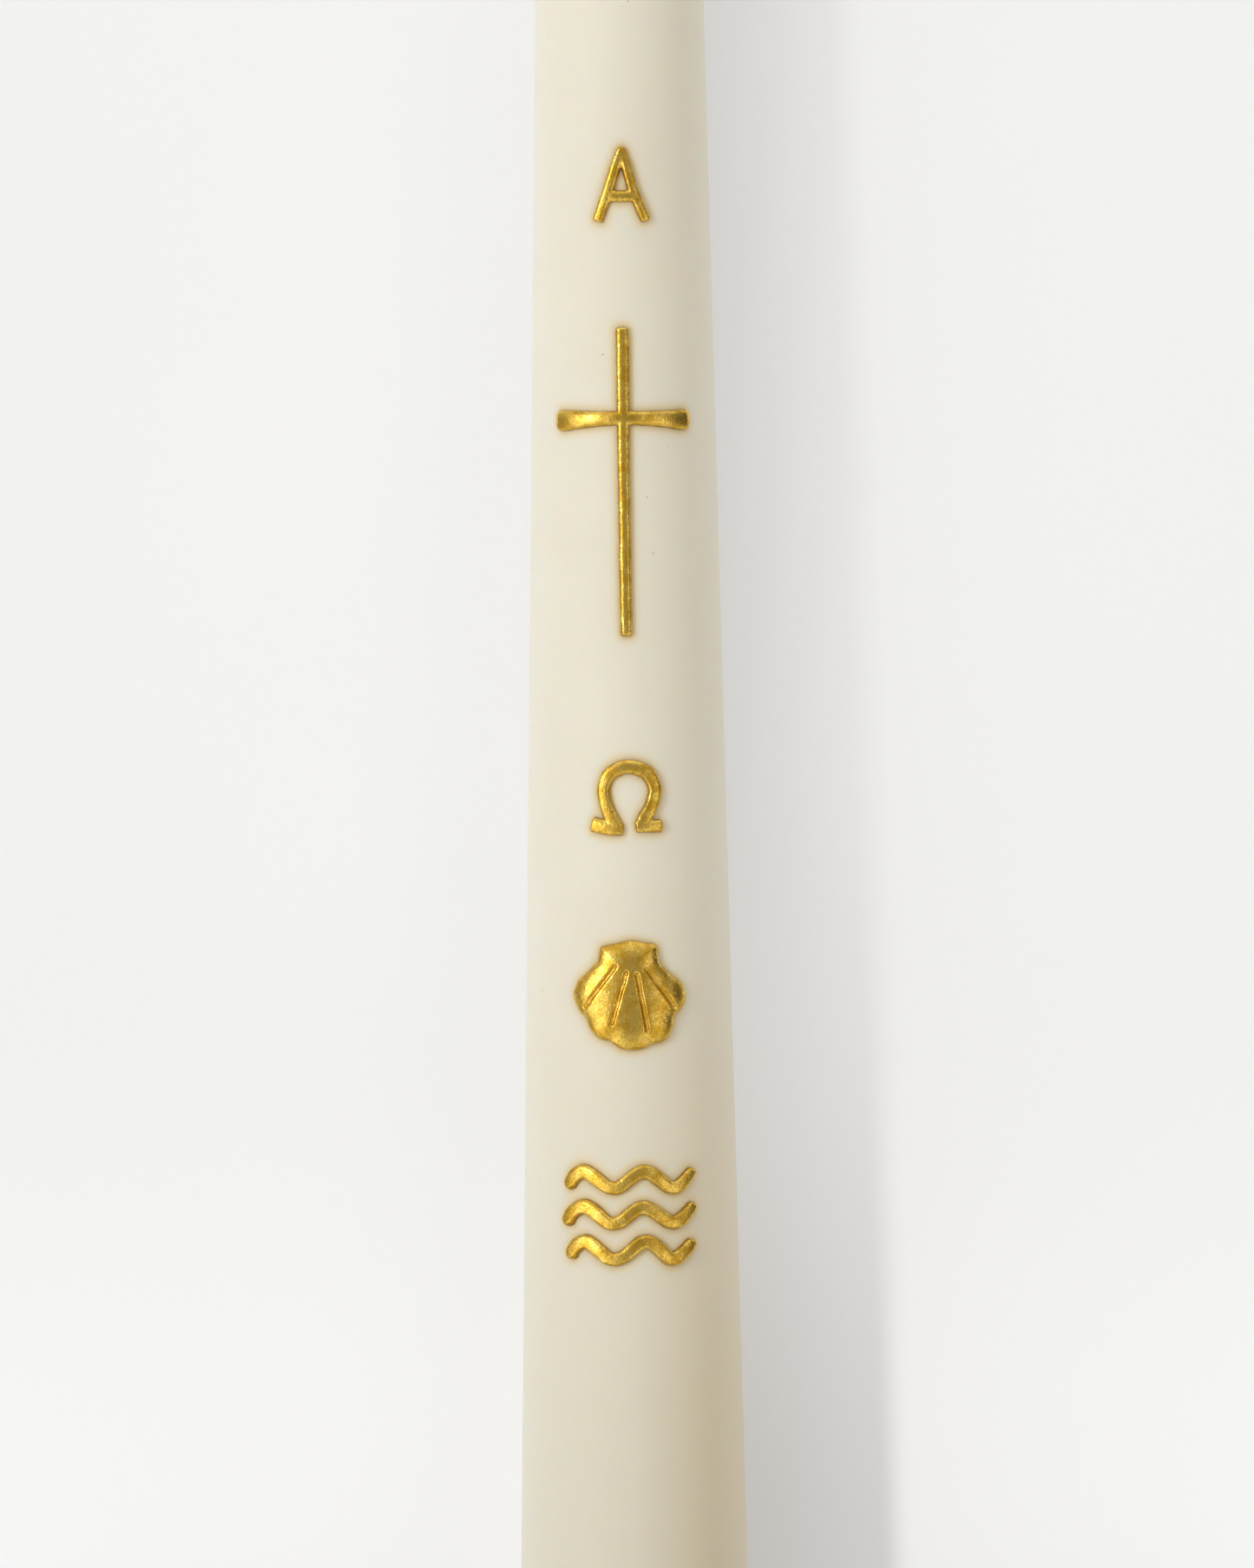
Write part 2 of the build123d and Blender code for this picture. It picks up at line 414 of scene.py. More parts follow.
# Lathe: sweeps a closed outline round the candle's axis
def buildLathe():
    graph = newRecipe("turned wax", {"Segments": "Int", "Wobble": "Float", "Material": "Material"})
    given = graph.given
    outline = graph.node("GeometryNodeMeshToCurve", {}, {0: given["Geometry"]})
    ring = graph.node("GeometryNodeCurvePrimitiveCircle", {}, {
        "Resolution": given["Segments"], "Radius": taper["hub"]})
    turned = graph.node("GeometryNodeCurveToMesh", {}, {"Curve": ring, "Profile Curve": outline})
    place = graph.node("GeometryNodeInputPosition")
    broad = graph.noise(place, 22, 2)
    fine = graph.noise(place, 110, 2)
    depth = given["Wobble"] * ((broad - 0.5) * 1.6 + (fine - 0.5) * 0.6)
    x, y, z = graph.split(place)
    outward = graph.vector("NORMALIZE", graph.join(x, y, 0.0), (0, 0, 0))
    moved = graph.node("GeometryNodeSetPosition", {}, {0: turned, "Offset": graph.scaled(outward, depth)})
    closeRecipe(graph, moved)
    return graph


lathe = buildLathe()


def turn(name, outline, wobble, material):
    points = [(r - taper["hub"], -h, 0) for r, h in outline]
    count = len(points)
    draft = newDraft(name, points, [(i, (i + 1) % count) for i in range(count)])
    addRecipe(draft, lathe, {"Segments": taper["segments"], "Wobble": wobble, "Material": material})
    return bakeDraft(draft)


coatMesh = turn("dippedCoat", coatProfile(), taper["wobble"], coatWax)
coreMesh = turn("waxCore", coreProfile(), 0.0, coreWax)
addPiece("waxCore", coreMesh, "wax_core")
print("wax turned", len(coatMesh.polygons), len(coreMesh.polygons))

plait = {
    "strands": 8,
    "strandRadius": 0.27 * mm,
    "middle": 0.62 * mm,        # strands' distance from the wick's axis
    "swing": 0.12 * mm,         # over and under each other
    "pitch": 7 * mm,            # height of one turn
    "lean": 1.1 * mm,           # the stub's bend at its top
    "leanBack": 0.4,            # share of the bend that goes away from the front
    "stepsEachTurn": 22,
}


# Wick: strands wound both ways, each over one and under the next
def buildPlait():
    graph = newRecipe("plaited wick", {
        "Strands": "Int", "Strand Radius": "Float", "Middle": "Float", "Swing": "Float", "Pitch": "Float",
        "Length": "Float", "Stub Start": "Float", "Lean": "Float", "Material": "Material"})
    given = graph.given
    line = graph.node("GeometryNodeCurvePrimitiveLine", {}, {
        "Start": (0, 0, 0), "End": graph.join(0.0, 0.0, given["Length"])})
    fine = graph.node("GeometryNodeResampleCurve", {}, {
        "Curve": line, "Count": given["Length"] / given["Pitch"] * plait["stepsEachTurn"]})
    copies = graph.node("GeometryNodeDuplicateElements", {"domain": "SPLINE"}, {
        0: fine, "Amount": given["Strands"]})
    number = copies.also("Duplicate Index")
    x, y, z = graph.split(graph.node("GeometryNodeInputPosition"))
    wayRound = 1 - 2 * number.maths("MODULO", number, 2.0)
    pairs = given["Strands"] / 2
    first = number.maths("FLOOR", number / 2) / pairs * math.tau
    angle = wayRound * z / given["Pitch"] * math.tau + first
    distance = given["Middle"] + wayRound * given["Swing"] * angle.maths("COSINE", angle * pairs)
    rise = ((z - given["Stub Start"]) / (given["Length"] - given["Stub Start"])).clamped()
    bend = given["Lean"] * rise * rise
    route = graph.join(distance * angle.maths("COSINE", angle) + bend,
                       distance * angle.maths("SINE", angle) + plait["leanBack"] * bend, z)
    wound = graph.node("GeometryNodeSetPosition", {}, {0: copies, "Position": route})
    section = graph.node("GeometryNodeCurvePrimitiveCircle", {}, {
        "Resolution": 7, "Radius": given["Strand Radius"]})
    cords = graph.node("GeometryNodeCurveToMesh", {}, {
        "Curve": wound, "Profile Curve": section, "Fill Caps": True})
    closeRecipe(graph, cords)
    return graph


wickDraft = newDraft("plaitedWick", [(0, 0, 0)])
addRecipe(wickDraft, buildPlait(), {
    "Strands": plait["strands"], "Strand Radius": plait["strandRadius"], "Middle": plait["middle"],
    "Swing": plait["swing"], "Pitch": plait["pitch"], "Length": wickHigh.z, "Stub Start": waxTop,
    "Lean": plait["lean"], "Material": primedCotton})
wickMesh = bakeDraft(wickDraft)
addPiece("plaitedWick", wickMesh, "wick")
print("wick plaited", len(wickMesh.polygons))

# Reliefs are modelled flat, in millimetres: x across, y up from the motif's foot, z out of the wax.
# A stroke is a list of (x, y, half width); a smooth line runs through its points.
relief = {
    "rise": 0.6,
    "sink": 0.12,            # how far a relief's back goes into the wax
    "voxel": 0.06,
    "grain": 0.012,          # casting grain on the surface
    "ragged": 0.05,          # unevenness of the outline
    "crumbs": 5.0,           # flakes of leaf round each relief, per square millimetre of edge
    "smallestFlake": 0.02,
    "largestFlake": 0.06,
}


def buildStrokes():
    graph = newRecipe("relief strokes", {
        "Rise": "Float", "Sink": "Float", "Squareness": "Float", "Bluntness": "Float",
        "Material": "Material"})
    given = graph.given
    lines = graph.node("GeometryNodeMeshToCurve", {}, {0: given["Geometry"]})
    flowing = graph.node("GeometryNodeCurveSplineType", {"spline_type": "CATMULL_ROM"}, {0: lines})
    fine = graph.node("GeometryNodeResampleCurve", {"mode": "LENGTH"}, {"Curve": flowing, "Length": 0.05})
    width = graph.node("GeometryNodeInputNamedAttribute", {"data_type": "FLOAT"}, {"Name": "halfWidth"})
    reached = graph.node("GeometryNodeSplineParameter").also("Length")
    total = graph.node("GeometryNodeSplineLength")
    toEnd = reached.maths("MINIMUM", reached, total - reached) / (given["Bluntness"] * width)
    short = 1 - toEnd.clamped()
    narrowing = short.maths("SQRT", 1.02 - short * short)    # ends round off, just short of a point
    ring = graph.node("GeometryNodeCurvePrimitiveCircle", {}, {"Resolution": 40, "Radius": 1.0})
    x, y, z = graph.split(graph.node("GeometryNodeInputPosition"))
    power = 2 / given["Squareness"]
    sideways = x.maths("SIGN", x) * x.maths("ABSOLUTE", x) ** power
    upright = y.maths("SIGN", y) * y.maths("ABSOLUTE", y) ** power
    section = graph.node("GeometryNodeSetPosition", {}, {
        0: ring, "Position": graph.join(sideways, upright, 0.0)})
    swept = graph.node("GeometryNodeCurveToMesh", {}, {
        "Curve": fine, "Profile Curve": section, "Scale": width * narrowing, "Fill Caps": True})
    x, y, z = graph.split(graph.node("GeometryNodeInputPosition"))
    kept = graph.node("GeometryNodeInputNamedAttribute", {"data_type": "FLOAT"}, {"Name": "halfWidth"})
    share = z / kept
    above = share.maths("MAXIMUM", share, 0.0) * given["Rise"]
    below = share.maths("MINIMUM", share, 0.0) * given["Sink"]
    pressed = graph.node("GeometryNodeSetPosition", {}, {
        0: swept, "Position": graph.join(x, y, above + below)})
    closeRecipe(graph, pressed)
    return graph


# Pressing: unevenness and leaf crumbs, then the flat relief is laid round the taper
def buildPressing():
    graph = newRecipe("press on taper", {
        "Grain": "Float", "Ragged": "Float", "Crumbs": "Float", "Seed": "Int", "Foot": "Float",
        "Wax Radius": "Float", "Slope": "Float", "Material": "Material"})
    given = graph.given
    place = graph.node("GeometryNodeInputPosition")
    shifted = graph.vector("ADD", place, graph.join(given["Seed"] * 7.3, given["Seed"] * 3.1, 0.0))
    x, y, z = graph.split(place)
    coarse = graph.noise(shifted, 0.9, 3, 0.6, out=1)
    rough = graph.noise(shifted, 5.0, 2, 0.6, out=1)
    drift = graph.vector("SUBTRACT", graph.mixColour(0.4, coarse, rough), (0.5, 0.5, 0.5))
    drift = graph.vector("MULTIPLY", drift, (1, 1, 0.25))
    uneven = graph.node("GeometryNodeSetPosition", {}, {
        0: given["Geometry"], "Offset": graph.scaled(drift, given["Ragged"] * 4.0)})
    grain = (graph.noise(shifted, 9.0, 3, 0.7) - 0.5) * given["Grain"] * 4.0
    normal = graph.node("GeometryNodeInputNormal")
    grained = graph.node("GeometryNodeSetPosition", {}, {0: uneven, "Offset": graph.scaled(normal, grain)})
    grained = graph.node("GeometryNodeStoreNamedAttribute", {"data_type": "FLOAT", "domain": "POINT"}, {
        0: grained, "Name": "lift", "Value": z})
    lowEdge = z.maths("LESS_THAN", z, 0.16) * z.maths("GREATER_THAN", z, 0.02)
    points = graph.node("GeometryNodeDistributePointsOnFaces", {}, {
        0: grained, "Selection": lowEdge, "Density": given["Crumbs"], "Seed": given["Seed"]})
    flake = graph.node("GeometryNodeMeshIcoSphere", {}, {"Radius": 1.0, "Subdivisions": 1})
    size = graph.node("FunctionNodeRandomValue", {"data_type": "FLOAT"}, {
        2: relief["smallestFlake"], 3: relief["largestFlake"], "Seed": 3}, out=1)
    flakes = graph.node("GeometryNodeInstanceOnPoints", {}, {
        0: points, "Instance": flake, "Scale": graph.join(size, size, size * 0.7)})
    strewn = graph.node("GeometryNodeRealizeInstances", {}, {0: flakes})
    both = graph.node("GeometryNodeJoinGeometry", {}, {0: strewn})
    graph.tree.links.new(grained.socket, both.socket.node.inputs[0])
    x, y, z = graph.split(graph.node("GeometryNodeInputPosition"))
    height = given["Foot"] + y * mm
    radius = given["Wax Radius"] - height * given["Slope"]
    share = x * mm / radius
    angle = share.maths("ARCSINE", share)
    reach = radius + z * mm
    laid = graph.join(reach * angle.maths("SINE", angle), (0 - reach) * angle.maths("COSINE", angle), height)
    bent = graph.node("GeometryNodeSetPosition", {}, {0: both, "Position": laid})
    closeRecipe(graph, bent)
    return graph


strokesRecipe = buildStrokes()
pressingRecipe = buildPressing()
pressedCloud = []


def press(name, draft, node, foot, seed):
    remesh = draft.modifiers.new("fuse", "REMESH")
    remesh.mode, remesh.voxel_size = "VOXEL", relief["voxel"]
    soften = draft.modifiers.new("soften", "SMOOTH")
    soften.factor, soften.iterations = 0.5, 4
    addRecipe(draft, pressingRecipe, {
        "Grain": relief["grain"], "Ragged": relief["ragged"], "Crumbs": relief["crumbs"], "Seed": seed,
        "Foot": foot, "Wax Radius": bodyRadius(0), "Slope": taper["slope"], "Material": giltWax})
    mesh = bakeDraft(draft)
    pressedCloud.extend(v.co.copy() for v in mesh.vertices)
    addPiece(name, mesh, node)
    print(name, len(mesh.polygons))


def pressStrokes(name, node, strokes, section, foot, seed):
    points, edges, widths = [], [], []
    for stroke in strokes:
        edges += [(len(points) + i, len(points) + i + 1) for i in range(len(stroke) - 1)]
        points += [(x, y, 0) for x, y, halfWidth in stroke]
        widths += [halfWidth for x, y, halfWidth in stroke]
    draft = newDraft(name, points, edges)
    attribute = draft.data.attributes.new("halfWidth", "FLOAT", "POINT")
    attribute.data.foreach_set("value", widths)
    squareness, bluntness = section
    addRecipe(draft, strokesRecipe, {
        "Rise": relief["rise"], "Sink": relief["sink"], "Squareness": squareness, "Bluntness": bluntness,
        "Material": giltWax})
    press(name, draft, node, foot, seed)


alpha = {
    "leftLeg": [
        (-2.38, 0.14, 0.50), (-1.52, 2.57, 0.52), (-0.62, 5.34, 0.52), (-0.10, 7.0, 0.42),
        (0.0, 7.55, 0.26)],
    "rightLeg": [
        (2.36, 0.17, 0.48), (1.16, 3.17, 0.50), (0.56, 5.34, 0.50), (0.10, 7.0, 0.42),
        (0.02, 7.55, 0.26)],
    "bar": [(-1.35, 2.68, 0.60), (0.05, 2.64, 0.58), (1.33, 2.70, 0.60)],
}
cross = {
    "upright": [
        (0.08, 0.0, 0.55), (0.02, 6.9, 0.57), (0.0, 8.0, 0.61), (0.02, 9.4, 0.57),
        (-0.03, 18.3, 0.59), (-0.03, 21.6, 0.63), (-0.03, 28.3, 0.64), (-0.07, 30.7, 0.60)],
    "arms": [
        (-6.53, 21.53, 0.94), (-5.75, 21.53, 1.04), (-4.3, 21.56, 0.88), (-2.0, 21.60, 0.72),
        (0, 21.63, 0.71), (2.0, 21.60, 0.71), (4.3, 21.55, 0.86), (5.55, 21.52, 1.02),
        (6.38, 21.52, 0.94)],
}
omega = {
    "ring": [
        (-0.81, 0.35, 0.65), (-1.48, 1.43, 0.68), (-2.09, 2.96, 0.64), (-2.27, 4.55, 0.62),
        (-1.73, 5.88, 0.65), (-0.6, 6.54, 0.70), (0.3, 6.62, 0.72), (1.3, 6.40, 0.72),
        (2.17, 5.78, 0.69), (2.71, 4.45, 0.63), (2.42, 2.96, 0.63), (1.73, 1.58, 0.70),
        (1.23, 0.6, 0.72)],
    "leftFoot": [(-3.5, 0.99, 0.74), (-2.57, 0.77, 0.74), (-1.48, 0.51, 0.68), (-0.4, 0.24, 0.39)],
    "rightFoot": [(0.8, 0.71, 0.57), (2.0, 0.75, 0.61), (3.4, 0.77, 0.61)],
}
# y is up from each wave's middle line
waves = {
    "wave_upper": {"middle": 74.45, "line": [
        (-5.58, -0.95, 0.46), (-5.80, -0.3, 0.60), (-5.38, 0.40, 0.68), (-4.65, 0.80, 0.72),
        (-3.9, 0.47, 0.72), (-3.1, -0.13, 0.68), (-2.35, -0.68, 0.66), (-1.6, -0.86, 0.66),
        (-0.9, -0.60, 0.66), (-0.1, 0.05, 0.66), (0.75, 0.62, 0.68), (1.5, 0.72, 0.70),
        (2.2, 0.40, 0.68), (3.0, -0.28, 0.66), (3.7, -0.78, 0.66), (4.4, -0.84, 0.64),
        (5.05, -0.35, 0.60), (5.6, 0.30, 0.52), (6.05, 1.0, 0.42)]},
    "wave_middle": {"middle": 70.95, "line": [
        (-5.80, -1.05, 0.46), (-6.02, -0.38, 0.60), (-5.5, 0.42, 0.68), (-4.6, 0.84, 0.74),
        (-3.85, 0.50, 0.74), (-3.1, -0.10, 0.70), (-2.35, -0.70, 0.66), (-1.75, -0.86, 0.66),
        (-1.0, -0.62, 0.66), (-0.2, 0.0, 0.68), (0.6, 0.58, 0.68), (1.3, 0.70, 0.70),
        (2.1, 0.36, 0.68), (3.0, -0.30, 0.66), (3.7, -0.74, 0.68), (4.4, -0.76, 0.68),
        (5.1, -0.25, 0.62), (5.65, 0.40, 0.52), (6.1, 1.15, 0.42)]},
    "wave_lower": {"middle": 67.45, "line": [
        (-5.52, -0.85, 0.46), (-5.74, -0.2, 0.60), (-5.3, 0.48, 0.68), (-4.55, 0.86, 0.72),
        (-3.8, 0.50, 0.72), (-3.0, -0.15, 0.68), (-2.3, -0.72, 0.66), (-1.6, -0.90, 0.66),
        (-0.8, -0.62, 0.66), (0.1, 0.08, 0.68), (0.9, 0.70, 0.70), (1.6, 0.80, 0.72),
        (2.3, 0.45, 0.70), (3.0, -0.22, 0.68), (3.6, -0.78, 0.68), (4.2, -0.90, 0.66),
        (5.0, -0.35, 0.62), (5.55, 0.30, 0.54), (6.0, 1.0, 0.44)]},
}
# How each motif's section is shaped: how square it is, and how bluntly its ends round off
sections = {"alpha": (3.2, 0.3), "cross": (3.2, 0.45), "omega": (3.4, 0.25), "waves": (4.0, 0.9)}
letters = [
    ("alphaLetter", "alpha_letter", alpha, "alpha"), ("giltCross", "cross", cross, "cross"),
    ("omegaLetter", "omega_letter", omega, "omega")]
for seed, (name, node, strokes, motif) in enumerate(letters, 1):
    pressStrokes(name, node, strokes.values(), sections[motif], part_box(node)[0].z, seed)
for seed, (node, wave) in enumerate(waves.items(), 4):
    kind, level = node.split("_")
    pressStrokes(kind + level.title(), node, [wave["line"]], sections["waves"], wave["middle"] * mm, seed)

shellShape = {
    "outline": [    # smooth stretches from corner to corner, clockwise from the hinge
        [(-2.40, 10.35), (-1.2, 10.62), (0.2, 10.87), (1.4, 10.68), (2.46, 10.50)],
        [(2.46, 10.50), (2.77, 10.19), (2.80, 9.6), (2.93, 8.75)],
        [(2.93, 8.75), (3.45, 8.04), (4.06, 7.42), (4.69, 6.96), (5.14, 6.35), (5.39, 5.58),
         (5.36, 4.80), (4.99, 4.03), (4.53, 3.57)],
        [(4.53, 3.57), (4.31, 3.05), (4.22, 2.34), (4.0, 1.72), (3.6, 1.11), (2.99, 0.74), (2.24, 0.66)],
        [(2.24, 0.66), (1.6, 0.28), (0.9, 0.05), (0.0, 0.0), (-0.72, 0.12), (-1.4, 0.5), (-1.94, 0.96)],
        [(-1.94, 0.96), (-2.4, 1.02), (-3.02, 1.27), (-3.48, 1.72), (-3.88, 2.34), (-4.09, 2.96),
         (-4.40, 3.48)],
        [(-4.40, 3.48), (-4.62, 3.73), (-4.92, 4.19), (-5.24, 4.90), (-5.38, 5.58), (-5.24, 6.19),
         (-4.86, 6.96), (-4.25, 7.57), (-3.48, 8.34), (-2.96, 8.87)],
        [(-2.96, 8.87), (-2.85, 9.6), (-2.71, 10.25), (-2.40, 10.35)]],
    "grooves": [((-1.27, 8.29), (-4.03, 4.40)), ((-0.25, 7.67), (-1.63, 2.65)),
                ((0.74, 7.48), (1.69, 1.94)), ((1.60, 8.04), (4.22, 4.19))],
    "grooveWidth": 0.18,
    "grooveDepth": 0.25,
    "rise": 0.95,
    "edge": 0.30,                   # upright wall at the rim
    "shoulderWidth": 2.3,           # rim to where the top levels out
    "step": 0.09,
    "gridAcross": (-5.8, 5.81),
    "gridUp": (-0.3, 11.31),
}


def smoothThrough(points, steps=8):    # the points before the last, with a smooth line between
    line = np.array([2 * np.array(points[0]) - points[1], *points, 2 * np.array(points[-1]) - points[-2]])
    run = []
    for a, b, c, d in zip(line, line[1:], line[2:], line[3:]):
        for t in np.linspace(0, 1, steps, endpoint=False):
            run.append(0.5 * (2 * b + (c - a) * t + (2 * a - 5 * b + 4 * c - d) * t ** 2
                              + (3 * b - a - 3 * c + d) * t ** 3))
    return run


def inside(points, outline):    # even-odd count of crossings
    ax, ay = outline[:, 0], outline[:, 1]
    bx, by = np.roll(ax, -1), np.roll(ay, -1)
    px, py = points[:, 0, None], points[:, 1, None]
    straddles = (ay > py) != (by > py)
    crossing = ax + (py - ay) / np.where(by == ay, 1, by - ay) * (bx - ax)
    return (straddles & (px < crossing)).sum(1) % 2 == 1


def shellDraft():
    shape = shellShape
    outline = np.array([point for stretch in shape["outline"] for point in smoothThrough(stretch)])[::-1]
    sides = zip(outline, np.roll(outline, -1, 0))
    dense = np.concatenate([np.linspace(a, b, 6, endpoint=False) for a, b in sides])
    xs = np.arange(*shape["gridAcross"], shape["step"])
    ys = np.arange(*shape["gridUp"], shape["step"])
    grid = np.array([(x, y) for y in ys for x in xs])
    inner = inside(grid, outline)
    nearest = np.array([dense[np.argmin(((dense - p) ** 2).sum(1))] for p in grid])
    distance = np.hypot(*(grid - nearest).T)
    rows, columns = len(ys), len(xs)
    starts = [r * columns + c for r in range(rows - 1) for c in range(columns - 1)]
    cells = [(i, i + 1, i + columns + 1, i + columns) for i in starts]
    quads = [cell for cell in cells if all(inner[i] for i in cell)]
    used = sorted({i for quad in quads for i in quad})
    edges = dict.fromkeys(pair for quad in quads for pair in zip(quad, quad[1:] + quad[:1]))
    border = [(a, b) for a, b in edges if (b, a) not in edges]
    rim = {i for pair in border for i in pair}
    place = {i: (nearest[i] if i in rim else grid[i]) for i in used}
    top = {}
    for i in used:
        reach = 0.0 if i in rim else min(distance[i] / shape["shoulderWidth"], 1.0)
        height = shape["edge"] + (shape["rise"] - shape["edge"]) * math.sqrt(1 - (1 - reach) ** 2)
        for start, end in shape["grooves"]:
            along = np.subtract(end, start)
            share = min(max((place[i] - start) @ along / (along @ along), 0.0), 1.0)
            away = np.linalg.norm(place[i] - start - share * along)
            height -= shape["grooveDepth"] * math.exp(-(away / shape["grooveWidth"]) ** 4)
        top[i] = height
    number = {i: n for n, i in enumerate(used)}
    count = len(used)
    points = [(*place[i], top[i]) for i in used] + [(*place[i], -relief["sink"]) for i in used]
    faces = [tuple(number[i] for i in quad) for quad in quads]
    faces += [tuple(number[i] + count for i in quad[::-1]) for quad in quads]
    faces += [(number[b], number[a], number[a] + count, number[b] + count) for a, b in border]
    return newDraft("giltShell", points, [], faces)


press("giltShell", shellDraft(), "shell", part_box("shell")[0].z, 7)


# How near each point of the coat's decorated front is to the gilding, for the painted reflected light beside
# it
def markGiltReflection(mesh, reach):
    nearby = pressedCloud[::3]
    tree = kdtree.KDTree(len(nearby))
    for i, point in enumerate(nearby):
        tree.insert(point, i)
    tree.balance()
    glow = np.zeros(len(mesh.vertices), np.float32)
    for vertex in mesh.vertices:
        isFront = vertex.co.y < 0 and vertex.co.xy.length > footRadius * 0.6
        if isFront and reliefZone[0] < vertex.co.z < reliefZone[1]:
            distance = tree.find(vertex.co)[2]
            glow[vertex.index] = max(0.0, 1 - distance / reach) ** 2
    mesh.attributes.new("glow", "FLOAT", "POINT").data.foreach_set("value", glow)


markGiltReflection(coatMesh, wax["giltReflectionReach"])
addPiece("dippedCoat", coatMesh, "dipped_coat")
print("reliefs pressed")

# Stage, camera and light
studio = {
    "frameHeight": 157.1 * mm,
    "frameMiddle": 113.6 * mm,
    "roll": 0.547,
    "lens": 200,
    "sensor": 36,
    "plinth": 62 * mm,
    "plinthColour": (0.30, 0.29, 0.28, 1),
    "keyAngle": -43.5,          # round from straight ahead, left is negative
    "keyHeight": 13,
    "keyStrength": 0.67,
    "keySpread": 6,
    "sky": (0.53, 0.52, 0.50),
}
# The board behind the candle is partly self-lit, which thins the shadow that falls on it
board = {
    "halfWidth": 190 * mm,
    "foot": -50 * mm,
    "top": 380 * mm,
    "gap": 0.4 * mm,            # behind the candle
    "colour": (0.56, 0.56, 0.56, 1),
    "glow": 0.362,
    "tint": (1.0, 1.008, 1.03),
    # a painted band where the shadow falls: it goes with these lights and doesn't follow them
    "bandEdge": 27.5 * mm,
    "bandTaper": 0.026,         # it narrows upwards with the candle
    "bandSoftness": 1.5 * mm,
    "bandInner": -0.065,        # added to the glow beside the candle
    "bandOuter": 0.035,         # and at the band's outer side
    "innerRise": 0.012,         # added to the first lower down
    "outerFall": 0.048,         # taken from the second lower down
    "lowShade": 0.07,
    "lowLight": 0.06,           # beside the band
}
# Brighter and darker areas of the surroundings: way round, height, radius and softness in degrees,
# and the colour that each adds to the sky
lobes = {
    "cameraShade": (4, 4, 12, 12, (-0.30, -0.30, -0.30)),
    "leftShade": (-84, 0, 10, 10, (-0.40, -0.40, -0.40)),
    "rightShade": (74, 5, 16, 10, (-0.50, -0.50, -0.50)),
    "leftGlow": (-42, -9, 15, 9, (0.80, 0.79, 0.77)),
    "lowSoftbox": (-54, -25, 7, 7, (1.2, 1.22, 1.25)),
    "rightFill": (40, -10, 10, 9, (0.95, 0.87, 0.70)),
    "highFront": (0, 62, 20, 30, (0.46, 0.47, 0.48)),
    "lowFront": (0, -62, 20, 30, (0.46, 0.47, 0.48)),
}


def toward(angle, height):
    turned, lift = math.radians(angle), math.radians(height)
    return Vector((math.sin(turned) * math.cos(lift), -math.cos(turned) * math.cos(lift), math.sin(lift)))


def addSheet(name, corners, colour, glow):
    draft = newDraft(name, corners, [], [tuple(range(len(corners)))])
    graph = newMaterial(name, {"Roughness": 0.85, "Emission Strength": glow})
    weave = graph.noise(graph.place, 900, 3, 0.6)
    clouds = graph.noise(graph.place, 30, 3, 0.6)
    tone = graph.between(0.5 * weave + 0.5 * clouds, 0.3, 0.7, 0.991, 1.007)
    feed(graph, "Base Color", graph.scaled(colour[:3], tone))
    draft.data.materials.append(graph.material)
    return draft, graph


def lightBoard(graph):
    x, y, z = graph.split(graph.place)
    edge = board["bandEdge"] - z * board["bandTaper"]
    softness = board["bandSoftness"]
    inBand = graph.between(x, 0.0, 8 * mm) * graph.between(x - edge, softness, -softness)
    inBand = inBand * graph.between(z, 310 * mm, 230 * mm) * graph.between(z, 0.0, 25 * mm)
    low = graph.between(z, 92 * mm, 34 * mm)
    fall = graph.between(z, 125 * mm, 75 * mm)
    inner = board["innerRise"] * fall + board["bandInner"]
    outer = board["bandOuter"] - board["outerFall"] * fall
    shade = graph.between(x, 9 * mm, 25 * mm, inner, outer, smooth=False)
    level = board["glow"] + inBand * (shade - board["lowShade"] * low)
    level = level + board["lowLight"] * low * (1 - inBand)
    feed(graph, "Emission Color", graph.scaled(board["tint"], level))


def showFrontOnly(graph):
    clear = graph.node("ShaderNodeBsdfTransparent")
    behind = graph.node("ShaderNodeNewGeometry").also("Backfacing")
    front = Wire(graph, graph.shader.outputs[0])
    mixed = graph.node("ShaderNodeMixShader", {}, {0: behind, 1: front, 2: clear})
    graph.tree.links.new(mixed.socket, graph.output.inputs["Surface"])


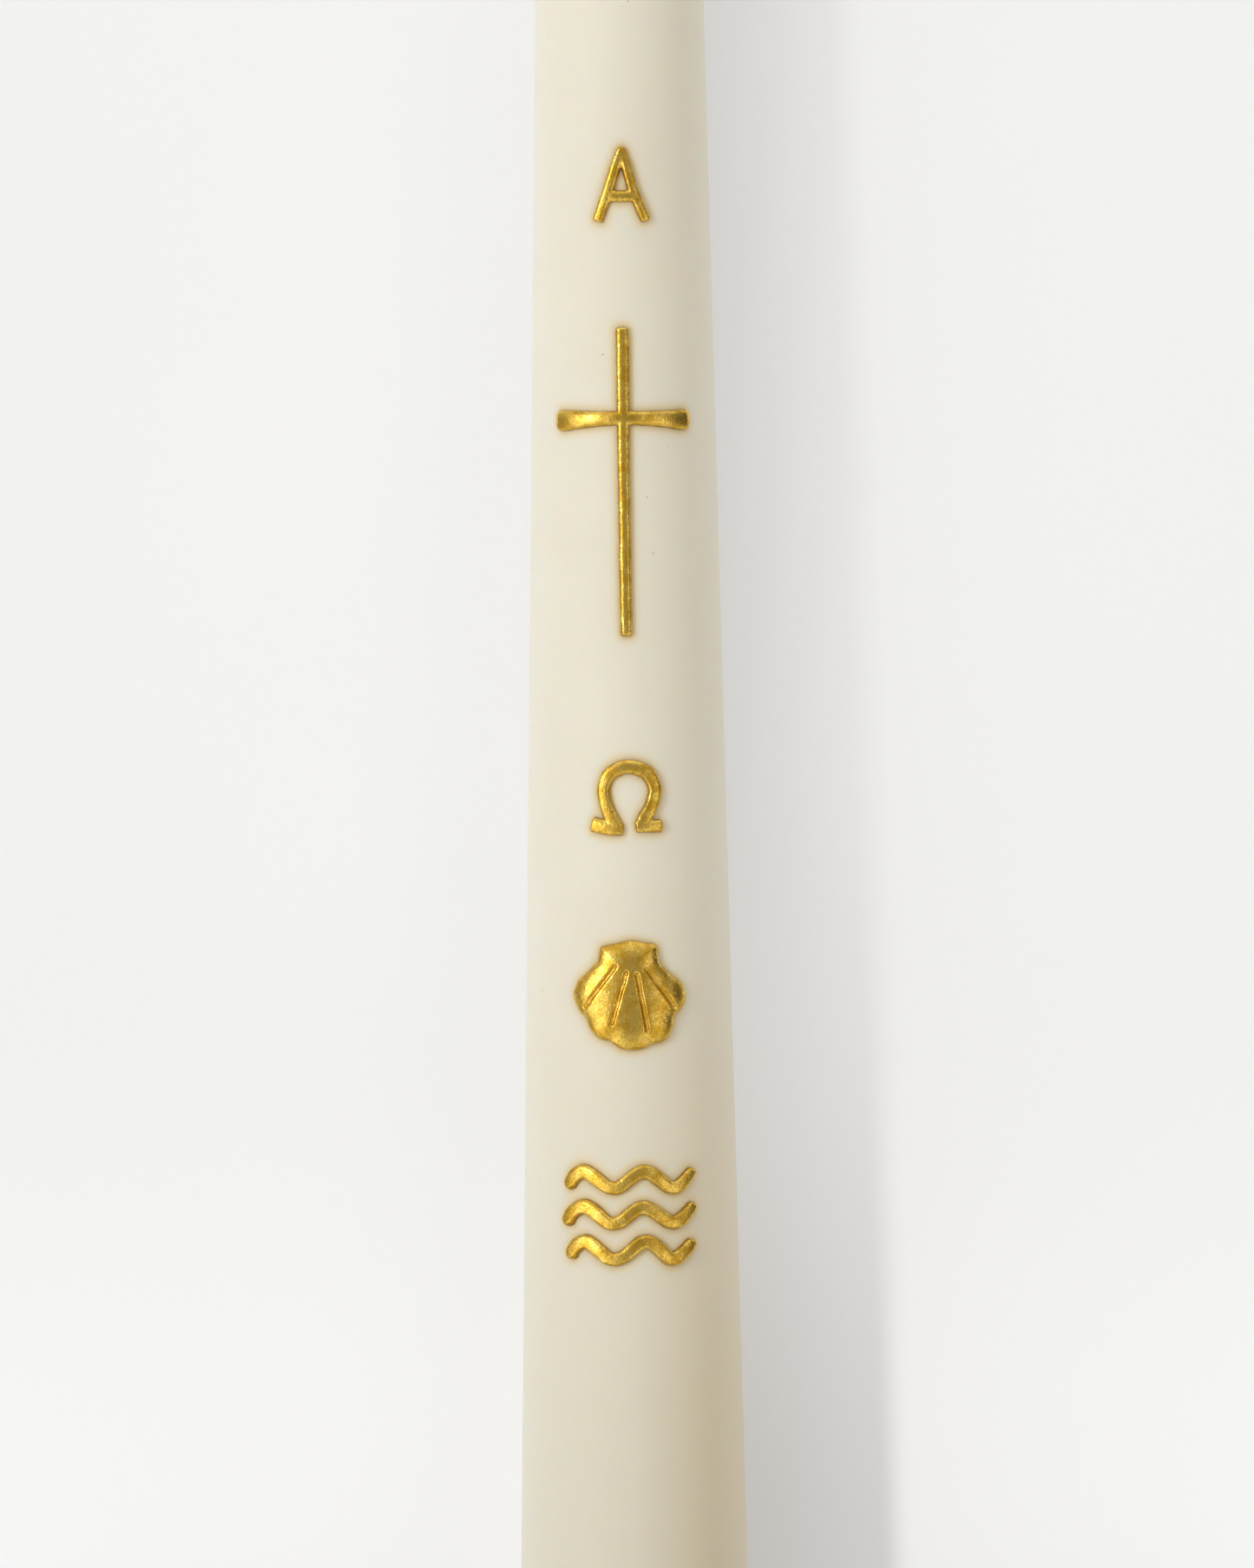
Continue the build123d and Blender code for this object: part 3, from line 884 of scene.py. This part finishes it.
half, boardY = board["halfWidth"], coatHigh.y + board["gap"]
corners = [(-half, boardY, board["foot"]), (half, boardY, board["foot"]),
           (half, boardY, board["top"]), (-half, boardY, board["top"])]
backBoard, boardGraph = addSheet("backBoard", corners, board["colour"], 1.0)
lightBoard(boardGraph)
showFrontOnly(boardGraph)
plinthTurns = np.linspace(0, math.tau, 96, endpoint=False)
plinthEdge = [(studio["plinth"] * math.cos(t), studio["plinth"] * math.sin(t), 0) for t in plinthTurns]
plinth, plinthGraph = addSheet("plinth", plinthEdge, studio["plinthColour"], 0.0)
plinth.visible_shadow = False

world = bpy.data.worlds.new("studio")
bpy.context.scene.world = world
world.use_nodes = True
sky = Graph(world.node_tree)
heading = sky.node("ShaderNodeTexCoord")    # direction looked in
glow = studio["sky"]
for angle, height, radius, softness, colour in lobes.values():
    facing = sky.vector("DOT_PRODUCT", heading, tuple(toward(angle, height)), out=1)
    rim, heart = math.cos(math.radians(radius + softness)), math.cos(math.radians(radius))
    glow = sky.vector("ADD", glow, sky.scaled(colour, sky.between(facing, rim, heart)))
background = world.node_tree.nodes["Background"]
sky.tree.links.new(glow.socket, background.inputs["Color"])
background.inputs["Strength"].default_value = 1.0

key = bpy.data.objects.new("key", bpy.data.lights.new("key", "SUN"))
bpy.context.scene.collection.objects.link(key)
key.data.energy = studio["keyStrength"]
key.data.angle = math.radians(studio["keySpread"])
fromKey = toward(studio["keyAngle"], studio["keyHeight"])
key.location = Vector((0, 0, studio["frameMiddle"])) + fromKey
key.rotation_euler = fromKey.to_track_quat("Z", "Y").to_euler()

camera = bpy.data.objects.new("camera", bpy.data.cameras.new("camera"))
bpy.context.scene.collection.objects.link(camera)
camera.data.lens = studio["lens"]
camera.data.sensor_width = studio["sensor"]
distance = studio["frameHeight"] * studio["lens"] / camera.data.sensor_width
camera.location = (0, -distance, studio["frameMiddle"])
camera.rotation_euler = (math.radians(90), math.radians(studio["roll"]), 0)
camera.data.clip_start, camera.data.clip_end = 0.01, 20
bpy.context.scene.camera = camera
bpy.context.scene.view_settings.view_transform = "Standard"
